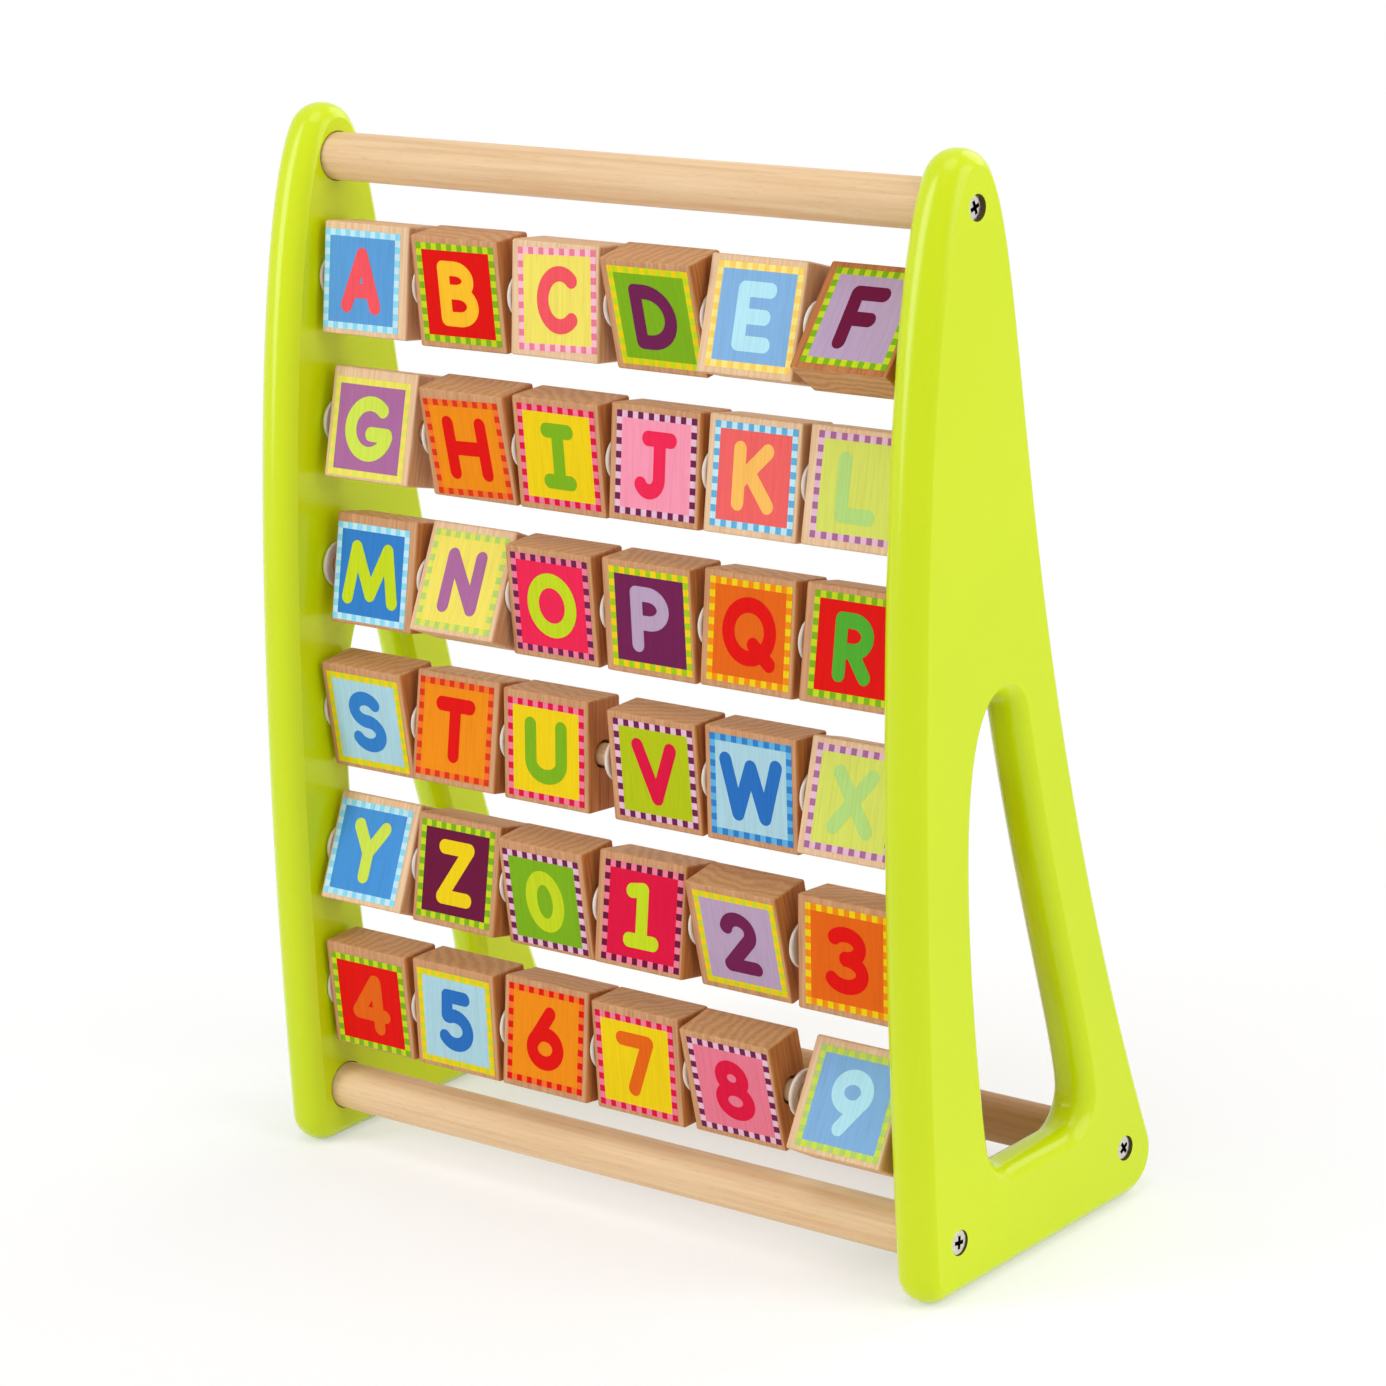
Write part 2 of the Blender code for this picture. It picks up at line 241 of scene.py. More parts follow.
def makeBlockBeech():
    # sawn and sanded beech, grain upright: pale to brown planks, side faces browner as painted shade, darker
    # end grain with soft ring arcs
    material, tree, shader = startMaterial("sanded beech block", Roughness=0.6, Specular_IOR_Level=0.3)
    grain = addNode(tree, "ShaderNodeAttribute", attribute_name="grainCoords").outputs["Vector"]
    ends = addNode(tree, "ShaderNodeAttribute", attribute_name="endGrain").outputs["Fac"]
    # plank tone, with painted shade browning the bored side faces
    toneAndShade = addNode(tree, "ShaderNodeAttribute", attribute_name="plankToneAndShade").outputs["Fac"]
    streakLength, streakWidth = 22 * mm, 0.9 * mm
    streak = streaks(tree, grain, (streakWidth, streakWidth, streakLength), 3.0)
    ringWidth = 3.6 * mm      # the wave node draws 20 rings in 2 pi
    rings = addNode(tree, "ShaderNodeTexWave",
                    {"Vector": grain, "Scale": 2 * math.pi / (20 * ringWidth), "Distortion": 7.0,
                     "Detail": 3.0, "Detail Scale": 1.2},
                    wave_type="RINGS", rings_direction="Z", wave_profile="SIN")
    pale = addNode(tree, "ShaderNodeValToRGB", {"Fac": streak},
                   stops=((0.3, "DAAF84"), (0.72, "EACBA6")))
    brown = addNode(tree, "ShaderNodeValToRGB", {"Fac": streak},
                    stops=((0.3, "A25C28"), (0.72, "C47E42")))
    side = addNode(tree, "ShaderNodeMix", {0: toneAndShade, 6: brown.outputs["Color"], 7: pale.outputs["Color"]},
                   data_type="RGBA")
    streakShare = 0.5
    figure = addNode(tree, "ShaderNodeMix", {0: streakShare, 2: rings.outputs["Fac"], 3: streak})
    end = addNode(tree, "ShaderNodeValToRGB", {"Fac": figure.outputs[0]},
                  stops=((0.15, "B07C4E"), (0.85, "CA9C6A"), (0.5, "C08E5C")))
    paleEnds = 0.6      # how much of the darker end the palest planks lose
    strong = addNode(tree, "ShaderNodeMath", {0: toneAndShade, 1: -paleEnds, 2: 1.0}, operation="MULTIPLY_ADD")
    share = addNode(tree, "ShaderNodeMath", {0: ends, 1: strong.outputs[0]}, operation="MULTIPLY")
    wood = addNode(tree, "ShaderNodeMix", {0: share.outputs[0], 6: side.outputs[2], 7: end.outputs["Color"]},
                   data_type="RGBA")
    endMaterial(tree, shader, wood.outputs[2], streak, strength=0.3, depth=0.08 * mm)
    return material


def makeScreenInk():
    # screen-printed ink on wood: flat strong colour, with the upright grain showing through a little
    material, tree, shader = startMaterial("screen-printed ink", Roughness=0.5, Specular_IOR_Level=0.06)
    ink = addNode(tree, "ShaderNodeAttribute", attribute_name="ink").outputs["Color"]
    grain = addNode(tree, "ShaderNodeAttribute", attribute_name="grainCoords").outputs["Vector"]
    streakLength, streakWidth, grainShare = 14 * mm, 0.7 * mm, 0.35
    streak = streaks(tree, grain, (streakWidth, streakWidth, streakLength), 3.0)
    veil = addNode(tree, "ShaderNodeValToRGB", {"Fac": streak}, stops=((0.3, "E4DCD6"), (0.6, "FFFFFF")))
    shown = addNode(tree, "ShaderNodeMix", {0: grainShare, 6: ink, 7: veil.outputs["Color"]},
                    data_type="RGBA", blend_type="MULTIPLY")
    endMaterial(tree, shader, shown.outputs[2], streak, strength=0.15, depth=0.05 * mm)
    return material


def makeWhitePaint():
    # dipped white paint on turned washers: greyed below white as painted shade from the blocks either side,
    # soft gloss, slightly uneven
    material, tree, shader = startMaterial("white dipped paint", Roughness=0.38, IOR=1.48)
    place = addNode(tree, "ShaderNodeTexCoord").outputs["Object"]
    cloudSize = 6 * mm
    # painted shade: the paint's tones are set greyer than white for the shade between the blocks
    cloud, tone = patches(tree, place, cloudSize, 2.0, ((0.3, "D2C5B7"), (0.7, "E2D7CB")))
    endMaterial(tree, shader, tone, cloud, strength=0.2, depth=0.1 * mm)
    return material


def makeNickelSteel():
    # nickel plated steel: bright, with fine tumbling marks in the gloss and painted shade darkening the
    # cross recess
    material, tree, shader = startMaterial("nickel plated steel", Metallic=1.0)
    place = addNode(tree, "ShaderNodeTexCoord").outputs["Object"]
    markSize = 0.7 * mm
    marks, tone = patches(tree, place, markSize, 2.0, ((0.3, "C6C2B8"), (0.7, "E4E1DA")))
    polished, dull = 0.18, 0.34
    gloss = addNode(tree, "ShaderNodeMapRange", {"Value": marks, "To Min": polished, "To Max": dull})
    # painted shade: the cross recess is coloured dark for the shade inside it
    recessShade = addNode(tree, "ShaderNodeAttribute", attribute_name="driveShade").outputs["Fac"]
    shadedDrive = addNode(tree, "ShaderNodeMix", {0: recessShade, 6: tone, 7: linear("2A231E")},
                    data_type="RGBA")
    linkShader(tree, shader, Base_Color=shadedDrive.outputs[2], Roughness=gloss.outputs["Result"])
    return material


limeLacquer = makeLimeLacquer()
drilledBoardShade = makeDrilledBoardShade()
turnedBeech = makeTurnedBeech()
blockBeech = makeBlockBeech()
screenInk = makeScreenInk()
whitePaint = makeWhitePaint()
nickelSteel = makeNickelSteel()
print("materials ready")


# Plates with rounded edges: the side panels and the blocks

def spread(start, end, step):
    # angles from start to end, both included, in even steps; degrees in, radians out
    count = max(2, math.ceil(abs(end - start) / step))
    return [math.radians(start + (end - start) * i / count) for i in range(count + 1)]


def arc(centre, radius, start, end, step=6.0):
    # points on a circle; angles in degrees
    return [Vector(centre) + radius * Vector((math.cos(a), math.sin(a))) for a in spread(start, end, step)]


def inset(points, distance):
    # move a clockwise outline in along its corner normals
    leastSlope = 0.5      # holds back the points of sharp corners
    moved = []
    for i, point in enumerate(points):
        before = (point - points[i - 1]).normalized()
        after = (points[(i + 1) % len(points)] - point).normalized()
        normal = Vector((before.y + after.y, -before.x - after.x)).normalized()
        moved.append(point + normal * distance / max(leastSlope, normal.dot(Vector((after.y, -after.x)))))
    return moved


def bridge(bm, loops):
    made = []
    for lower, upper in zip(loops, loops[1:]):
        for i in range(len(lower)):
            j = (i + 1) % len(lower)
            made.append(bm.faces.new((lower[i], lower[j], upper[j], upper[i])))
    return made


def closeSolid(bm, loops):
    bridge(bm, loops)
    bm.faces.new(loops[0])
    bm.faces.new(loops[-1])


def circles(bm, centre, profile, sides):
    # one loop of points across X for each (x, radius) pair
    loops = []
    for x, radius in profile:
        spots = arc(centre, radius, 0, 360 - 360 / sides, 360 / sides)
        loops.append([bm.verts.new((x, p.x, p.y)) for p in spots])
    return loops


def pit(bm, centre, profile, sides):
    # a round hole with a floor and a bare wall, the wall coloured dark as painted shade: (x, radius) pairs
    # from the face inwards; gives the rim
    loops = circles(bm, centre, profile, sides)
    for face in bridge(bm, loops) + [bm.faces.new(loops[-1])]:
        face.material_index = 1
    return loops[0]


def plate(outline, hole, xLow, xHigh, edge, holeEdge, steps, lowPits=(), highPits=(), sweep=90):
    # plate across X with rounded rims; each pit is (centre, profile, sides)
    # a sweep under 90 degrees leaves a crease where the rim meets the face
    bm = bmesh.new()
    turns = [math.radians(sweep) * i / steps for i in range(steps + 1)]
    top = math.sin(turns[-1])
    ends = []
    for points, radius, sign in ((outline, edge, 1), (hole, holeEdge, -1)):
        lows = [(xLow + radius * (top - math.sin(t)), radius * (1 - math.cos(t))) for t in reversed(turns)]
        highs = [(xHigh - radius * (top - math.sin(t)), radius * (1 - math.cos(t))) for t in turns]
        loops = []
        for x, inward in lows + highs:
            loops.append([bm.verts.new((x, p.x, p.y)) for p in inset(points, sign * inward)])
        bridge(bm, loops)
        ends.append((loops[0], loops[-1]))
    for end, pits in ((0, lowPits), (1, highPits)):
        rims = [pair[end] for pair in ends] + [pit(bm, *one) for one in pits]
        border = [bm.edges.get((rim[i - 1], rim[i])) for rim in rims for i in range(len(rim))]
        bmesh.ops.triangle_fill(bm, use_beauty=True, use_dissolve=False, edges=border)
    return bm


# Side panels

panel = {
    "edge": 7.9 * mm, "windowEdge": 7.4 * mm, "edgeSweep": 64, "edgeSteps": 9,
    "crease": 18,      # edges sharper than this many degrees stay crisp
    "curveSteps": 40, "seatSides": 48, "rodSeatSides": 32,
    "frontMargin": 14.9 * mm, "rearMargin": 16.8 * mm,      # rail axis to the panel's front or rear edge
    "frontFoot": 9.0 * mm, "rearFoot": 14.2 * mm,
    "noseRadius": 11.0 * mm, "noseBack": 1.0 * mm, "noseUp": 5.2 * mm,
    "angles": (180, 143, 31, 19), "handles": (0.47, 0.11, 0.11, 0.57),
    "railSeat": 7.8 * mm, "railSeatDepth": 6.0 * mm,
    "rodSeat": 3.8 * mm, "rodSeatDepth": 8.0 * mm,
    "screwHole": 3.9 * mm, "screwFunnel": 2.4 * mm, "screwHoleDepth": 1.0 * mm, "screwFunnelDepth": 3.4 * mm,
}
window = {
    "frontPost": 33.7 * mm, "rearPost": 35.3 * mm, "base": 31.6 * mm, "top": 174.0 * mm,
    "noseRadius": 6.9 * mm, "noseBack": 48.5 * mm, "frontCorner": 11.0 * mm, "rearCorner": 10.0 * mm,
    "angles": (189, 117, 9, 5), "handles": (0.09, 0.19, 0.46, 0.145),
}


def middle(node):
    low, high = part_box(node)
    return (low + high) / 2


railPlaces = {name: middle(name + "_rail").yz for name in ("top", "front", "rear")}
rowPlaces = [middle(f"row_rod_{row}").yz for row in range(1, 7)]


def alongCircle(angle):
    return Vector((-math.sin(math.radians(angle)), math.cos(math.radians(angle))))


def curve(start, startHandle, endHandle, end):
    # inner points of a cubic curve
    points = []
    for i in range(1, panel["curveSteps"]):
        t = i / panel["curveSteps"]
        s = 1 - t
        points.append(s**3 * start + 3 * s * s * t * startHandle + 3 * s * t * t * endHandle + t**3 * end)
    return points


def finOutline(front, rear, base, frontRadius, rearRadius, nose, noseRadius, angles, handles):
    # fin in side view, clockwise: front foot, bulging front edge, nose, hollow rear edge, rear foot
    frontJoin, noseFront, noseRear, rearJoin = angles
    frontFoot = arc((front + frontRadius, base + frontRadius), frontRadius, 270, frontJoin)
    top = arc(nose, noseRadius, noseFront, noseRear)
    rearFoot = arc((rear - rearRadius, base + rearRadius), rearRadius, rearJoin, -90)
    frontChord = (top[0] - frontFoot[-1]).length
    rearChord = (rearFoot[0] - top[-1]).length
    frontCurve = curve(frontFoot[-1], frontFoot[-1] - alongCircle(frontJoin) * handles[0] * frontChord,
                       top[0] + alongCircle(noseFront) * handles[1] * frontChord, top[0])
    rearCurve = curve(top[-1], top[-1] - alongCircle(noseRear) * handles[2] * rearChord,
                      rearFoot[0] + alongCircle(rearJoin) * handles[3] * rearChord, rearFoot[0])
    return frontFoot + frontCurve + top + rearCurve + rearFoot


def makePanel(node, side):
    low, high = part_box(node)
    front = railPlaces["front"].x - panel["frontMargin"]
    rear = railPlaces["rear"].x + panel["rearMargin"]
    nose = railPlaces["top"] + Vector((panel["noseBack"], panel["noseUp"]))
    outline = finOutline(front, rear, 0.0, panel["frontFoot"], panel["rearFoot"], nose, panel["noseRadius"],
                         panel["angles"], panel["handles"])
    windowNose = Vector((front + window["noseBack"], window["top"] - window["noseRadius"]))
    opening = finOutline(front + window["frontPost"], rear - window["rearPost"], window["base"],
                         window["frontCorner"], window["rearCorner"], windowNose, window["noseRadius"],
                         window["angles"], window["handles"])
    inner, outer = (low.x, high.x) if side > 0 else (high.x, low.x)
    railPit = [(inner, panel["railSeat"]), (inner + side * panel["railSeatDepth"], panel["railSeat"])]
    rodPit = [(inner, panel["rodSeat"]), (inner + side * panel["rodSeatDepth"], panel["rodSeat"])]
    screwPit = [(outer, panel["screwHole"]), (outer - side * panel["screwHoleDepth"], panel["screwHole"]),
                (outer - side * panel["screwFunnelDepth"], panel["screwFunnel"])]
    innerPits = [(p, railPit, panel["seatSides"]) for p in railPlaces.values()]
    innerPits += [(p, rodPit, panel["rodSeatSides"]) for p in rowPlaces]
    outerPits = [(p, screwPit, panel["seatSides"]) for p in railPlaces.values()]
    pits = (innerPits, outerPits) if side > 0 else (outerPits, innerPits)
    bm = plate(outline, opening, low.x, high.x, panel["edge"], panel["windowEdge"], panel["edgeSteps"],
               *pits, sweep=panel["edgeSweep"])
    mesh = toMesh(node, bm, sharp=panel["crease"])
    mesh.materials.append(limeLacquer)
    mesh.materials.append(drilledBoardShade)
    addPiece("lacquered_" + node, evenNormals(mesh), limeLacquer, "frame", [node])


makePanel("side_panel_left", -1)
makePanel("side_panel_right", 1)
print("side panels built")


# Turned pieces: rails and rods

def turned(profile, sides):
    # solid about the X axis from (x, radius) pairs
    bm = bmesh.new()
    closeSolid(bm, circles(bm, (0, 0), profile, sides))
    return bm


def easedBar(length, radius, ease):
    # half profile with rounded ends, mirrored
    half, steps = length / 2, 4
    turns = [math.pi / 2 * i / steps for i in range(steps + 1)]
    right = [(half - ease * (1 - math.cos(t)), radius - ease * (1 - math.sin(t))) for t in reversed(turns)]
    return [(-x, r) for x, r in reversed(right)] + right


def storeToneAndShade(mesh, tonesAndShade):
    # how pale each face's wood is, from brown 0 to pale 1: the plank's own tone, lowered as painted shade on
    # shaded faces and on the rear rail
    toneAndShade = mesh.attributes.new("plankToneAndShade", "FLOAT", "FACE")
    toneAndShade.data.foreach_set("value", tonesAndShade)


# painted shade: the rear rail's low tone stands for the shade it lies in behind the rows
rail = {"ease": 0.8 * mm, "sides": 64, "tonesAndShade": {"top": 0.9, "front": 1.0, "rear": 0.1}}
rod = {"diameter": 7.0 * mm, "ease": 0.6 * mm, "sides": 40, "tone": 0.7}

for name, place in railPlaces.items():
    low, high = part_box(name + "_rail")
    bm = turned(easedBar(high.x - low.x, (high.z - low.z) / 2, rail["ease"]), rail["sides"])
    mesh = toMesh("beech_rail_" + name, bm, matrix=Matrix.Translation((0, *place)))
    storeToneAndShade(mesh, [rail["tonesAndShade"][name]] * len(mesh.polygons))
    addPiece("beech_rail_" + name, mesh, turnedBeech, "frame", [name + "_rail"])

for row, place in enumerate(rowPlaces, 1):
    low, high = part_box(f"row_rod_{row}")
    bm = turned(easedBar(high.x - low.x, rod["diameter"] / 2, rod["ease"]), rod["sides"])
    mesh = toMesh(f"beech_rod_{row}", bm, matrix=Matrix.Translation((0, *place)))
    storeToneAndShade(mesh, [rod["tone"]] * len(mesh.polygons))
    addPiece(f"beech_rod_{row}", mesh, turnedBeech, "frame", [f"row_rod_{row}"])
print("rails and rods turned")


# Spacer discs: a rounded washer at each point, one beside each block

disc = {"diameter": 15.0 * mm, "bore": 7.4 * mm, "thickness": 1.4 * mm, "rim": 0.65 * mm,
        "rimSteps": 5, "sides": 48}


def discPoints():
    # the frame's rods are widest in the middle plane of each disc
    nearWidest = 0.99
    points = []
    for row, place in enumerate(rowPlaces, 1):
        corners = [v.co for v in frame["nodes"][f"row_rod_{row}"].data.vertices]
        widest = max((corner.yz - place).length for corner in corners)
        planes = {round(corner.x, 5) for corner in corners
                  if (corner.yz - place).length > nearWidest * widest}
        points += [Vector((x, *place)) for x in sorted(planes)]
    return points


def makeDiscTree():
    tree, inputs = startTree("spacer discs", (
        ("Diameter", "Float"), ("Bore", "Float"), ("Thickness", "Float"), ("Rim", "Float"),
        ("Sides", "Int"), ("Paint", "Material")))
    wall = addNode(tree, "ShaderNodeMath", {0: inputs["Diameter"], 1: inputs["Bore"]}, operation="SUBTRACT")
    halfWall = addNode(tree, "ShaderNodeMath", {0: wall.outputs[0], 1: 0.5}, operation="MULTIPLY")
    total = addNode(tree, "ShaderNodeMath", {0: inputs["Diameter"], 1: inputs["Bore"]}, operation="ADD")
    middleRadius = addNode(tree, "ShaderNodeMath", {0: total.outputs[0], 1: 0.25}, operation="MULTIPLY")
    path = addNode(tree, "GeometryNodeCurvePrimitiveCircle",
                   {"Resolution": inputs["Sides"], "Radius": middleRadius.outputs[0]})
    section = addNode(tree, "GeometryNodeCurvePrimitiveQuadrilateral",
                      {"Width": halfWall.outputs[0], "Height": inputs["Thickness"]})
    rounded = addNode(tree, "GeometryNodeFilletCurve",
                      {"Curve": section.outputs[0], "Radius": inputs["Rim"], "Count": disc["rimSteps"]},
                      mode="POLY")
    washer = addNode(tree, "GeometryNodeCurveToMesh",
                     {"Curve": path.outputs[0], "Profile Curve": rounded.outputs[0]})
    smooth = addNode(tree, "GeometryNodeSetShadeSmooth", {"Geometry": washer.outputs[0]})
    quarterTurn = (0.0, math.pi / 2, 0.0)
    placed = addNode(tree, "GeometryNodeInstanceOnPoints",
                     {"Points": inputs["Geometry"], "Instance": smooth.outputs[0], "Rotation": quarterTurn})
    return endTree(tree, placed.outputs[0], inputs["Paint"])


points = bpy.data.meshes.new("disc points")
points.from_pydata(discPoints(), [], [])
discMesh = growMesh("spacer discs", makeDiscTree(), points, {
    "Diameter": disc["diameter"], "Bore": disc["bore"], "Thickness": disc["thickness"],
    "Rim": disc["rim"], "Sides": disc["sides"], "Paint": whitePaint})
addPiece("spacer_discs", discMesh, whitePaint, "frame")
print("spacer discs placed")


# Screws: one countersunk head with a cross recess, set at each rail end

screw = {
    "head": 3.7 * mm, "shank": 2.0 * mm, "headHeight": 2.2 * mm, "dome": 0.25 * mm, "rim": 0.25 * mm,
    "length": 9.0 * mm, "sides": 48,
    "crossReach": 2.3 * mm, "crossWidth": 0.7 * mm, "crossDepth": 2.0 * mm, "crossTaper": 0.45,
    "recess": {"top": 0.9 * mm, "front": 0.2 * mm, "rear": 0.5 * mm},
}


def inCross(face):
    # the walls and the floor of the cross, with a little room round it: the faces painted dark as shade
    room, steep, low = 1.05, 0.8, 0.5
    across, up = face.center.yz.length, face.center.x
    inside = across < room * screw["crossReach"] and up > -room * screw["crossDepth"]
    return inside and (face.normal.x < steep or up < -low * screw["crossDepth"])


def screwHead():
    # along +X: shank, cone and slightly domed top, with a tapered cross cut out
    dome = [(screw["dome"] * (1 - out**2), screw["head"] * out) for out in (1.0, 0.75, 0.5, 0.25)]
    profile = [(-screw["length"], screw["shank"]), (-screw["headHeight"], screw["shank"]),
               (-screw["rim"], screw["head"])] + dome
    body = toMesh("screw", turned(profile, screw["sides"]))
    bm = bmesh.new()
    reach, wide, taper = screw["crossReach"], screw["crossWidth"], screw["crossTaper"]
    above = screw["dome"] + 0.5 * mm      # the cutter stands clear of the dome
    corners = []
    for quarter in range(4):
        turn = Matrix.Rotation(math.pi / 2 * quarter, 2)
        corners += [turn @ Vector(spot) for spot in ((wide, -wide), (reach, -wide), (reach, wide))]
    loops = [[bm.verts.new((-screw["crossDepth"], p.x * taper, p.y * taper)) for p in corners],
             [bm.verts.new((above, p.x, p.y)) for p in corners]]
    closeSolid(bm, loops)
    cross = addObject("cross", toMesh("cross", bm, smooth=False))
    whole = addObject("screw", body)
    cut = whole.modifiers.new("cross", "BOOLEAN")
    cut.object = cross
    mesh = settled(whole)
    bpy.data.objects.remove(cross)
    # painted shade: the faces of the cross get the dark recess colour
    recessShade = mesh.attributes.new("driveShade", "FLOAT", "FACE")
    recessShade.data.foreach_set("value", [float(inCross(face)) for face in mesh.polygons])
    return addObject("screw", mesh)


def makeScrewTree():
    tree, inputs = startTree("rail screws", (("Screw", "Object"), ("Plating", "Material")))
    head = addNode(tree, "GeometryNodeObjectInfo", {"Object": inputs["Screw"]})
    facing = addNode(tree, "GeometryNodeInputNamedAttribute", {"Name": "facing"}, data_type="FLOAT_VECTOR")
    placed = addNode(tree, "GeometryNodeInstanceOnPoints",
                     {"Points": inputs["Geometry"], "Instance": head.outputs["Geometry"],
                      "Rotation": facing.outputs[0]})
    return endTree(tree, placed.outputs[0], inputs["Plating"])


screwPoints = bpy.data.meshes.new("screw points")
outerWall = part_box("side_panel_right")[1].x - screw["dome"]
# each screw stopped at its own angle when it was driven home
screwStops = {"top": 18, "front": -8, "rear": 32}
screwPoints.from_pydata([(side * (outerWall - screw["recess"][name]), *place)
                         for side in (-1, 1) for name, place in railPlaces.items()], [], [])
facing = screwPoints.attributes.new("facing", "FLOAT_VECTOR", "POINT")
turnsHome = [(math.radians(stop), 0.0, math.pi * (side < 0))
             for side in (-1, 1) for stop in screwStops.values()]
facing.data.foreach_set("vector", [value for turn in turnsHome for value in turn])
screwObject = screwHead()
screwMesh = growMesh("rail screws", makeScrewTree(), screwPoints,
                     {"Screw": screwObject, "Plating": nickelSteel})
bpy.data.objects.remove(screwObject)
screwNodes = [f"screw_{name}_{side}" for name in railPlaces for side in ("left", "right")]
addPiece("rail_screws", screwMesh, nickelSteel, "frame", screwNodes)
print("screws driven")


# Blocks: flat beech blocks bored across, each cut from its own place in a plank

rows = ("abcdef", "ghijkl", "mnopqr", "stuvwx", "yz0123", "456789")
blockLow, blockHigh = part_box("block_7")     # this block stands square, so its box is its size
blockSize = blockHigh - blockLow
jointPlace = {joint["child"]: Vector(joint["pos_m"]) for joint in frame["joints"]}
block = {"edge": 0.8 * mm, "edgeSteps": 4, "bore": 4.4 * mm, "boreEdge": 0.5 * mm, "boreStep": 10,
         "endSlope": 0.7,      # faces that look up or down more than this show end grain
         "midTone": 0.35, "sideShade": 0.6}      # painted shade: the bored side faces, in shade between the blocks, are made browner
# blocks cut from the palest and the brownest planks; the others lie between
palePlanks = "acegklnxy9"
brownPlanks = "f"
# degrees round the heart of the tree, and mm away from it and up
timber = {"angle": 30, "angleStep": 47, "away": 60, "awayStep": 8, "awaySteps": 4, "rise": 40}
# the bores are wide, so some blocks hang askew on their rods: degrees about the upright
sway = {"a": 2.0, "b": 2.0, "e": 2.0, "g": 2.0}


def frontTurn(node):
    # how far the frame's block is turned about its rod, from its broadest front face
    forward, sideways = -0.6, 0.1
    areas = {}
    for face in frame["nodes"][node].data.polygons:
        if face.normal.y < forward and abs(face.normal.x) < sideways:
            key = (round(face.normal.y, 3), round(face.normal.z, 3))
            areas[key] = areas.get(key, 0) + face.area
    y, z = max(areas, key=areas.get)
    return math.atan2(-z, -y)


def blockOutline():
    # rounded rectangle in the YZ plane, clockwise
    y, z, r = blockSize.y / 2, blockSize.z / 2, block["edge"]
    step = 90 / block["edgeSteps"]
    corners = (((-y + r, -z + r), 270), ((-y + r, z - r), 180), ((y - r, z - r), 90), ((y - r, -z + r), 0))
    return [p for centre, start in corners for p in arc(centre, r, start, start - 90, step)]


def storeGrain(mesh, offset):
    # the block's own coordinates, shifted so that each is cut from another place in the plank
    grain = mesh.attributes.new("grainCoords", "FLOAT_VECTOR", "POINT")
    grain.data.foreach_set("vector", [value for v in mesh.vertices for value in v.co + offset])


def plankOffset(order):
    # where a block was cut: how far from the heart of the tree, on which side, and how high
    angle = math.radians(timber["angle"] + timber["angleStep"] * order)
    away = timber["away"] + timber["awayStep"] * (order % timber["awaySteps"])
    return Vector((away * math.cos(angle), away * math.sin(angle), timber["rise"] * order)) * mm


def blockPlace(letter):
    node = "block_" + letter
    swing = Matrix.Rotation(math.radians(sway.get(letter, 0.0)), 4, "Z")
    return Matrix.Translation(jointPlace[node]) @ Matrix.Rotation(frontTurn(node), 4, "X") @ swing


def makeBlock(letter, order):
    node = "block_" + letter
    half = blockSize.x / 2
    hole = arc((0, 0), block["bore"], 0, block["boreStep"] - 360, block["boreStep"])
    bm = plate(blockOutline(), hole, -half, half, block["edge"], block["boreEdge"], block["edgeSteps"])
    mesh = evenNormals(toMesh(node, bm))
    storeGrain(mesh, plankOffset(order))
    tone = 1.0 if letter in palePlanks else 0.0 if letter in brownPlanks else block["midTone"]
    # painted shade: faces turned across X are made browner, for the shade between the blocks
    storeToneAndShade(mesh, [tone - block["sideShade"] * abs(face.normal.x) for face in mesh.polygons])
    ends = mesh.attributes.new("endGrain", "FLOAT", "FACE")
    ends.data.foreach_set("value", [float(abs(face.normal.z) > block["endSlope"]) for face in mesh.polygons])
    mesh.transform(blockPlace(letter))
    addPiece("beech_block_" + letter, mesh, blockBeech, node, [node])


# Prints: a field in a check border, and a letter in round strokes

inks = {
    "red": "E00C06", "crimson": "DC0F3E", "cherry": "EE2551", "coral": "F0555E", "salmon": "EF6462",
    "flame": "DC3216", "deepOrange": "E46410", "tangerine": "EE7426", "orange": "EE8C10", "amber": "FABE28",
    "apricot": "FABE5F", "peach": "FAD264", "butter": "FAE482", "yellow": "EECE10", "lemon": "F0E064",
    "limeYellow": "CDD22D", "lime": "C3D71E", "oliveLime": "B4C310", "paleLime": "D7DF64",
    "sunLime": "E1E15A", "grass": "A0C81E", "citron": "CDE150", "sage": "B4D46E", "mint": "B4DA7E",
    "green": "7CB018", "leaf": "50AA2D", "deepBlue": "286EBE", "blue": "327DC8", "midBlue": "4691D7",
    "cornflower": "5A9BD6", "powder": "82B2E0", "skyBlue": "5FAFDC", "aqua": "8CD7F0", "sky": "AAD2DF",
    "ice": "B4E6F5", "frost": "C0E6F4", "lavender": "B89FBD", "mauve": "AA699B", "lilac": "E4BCCE",
    "purple": "701E50", "plum": "6A1039", "pink": "F596B0", "rose": "EB7D96", "deepPink": "E6788F",
    "blush": "FABECD",
}
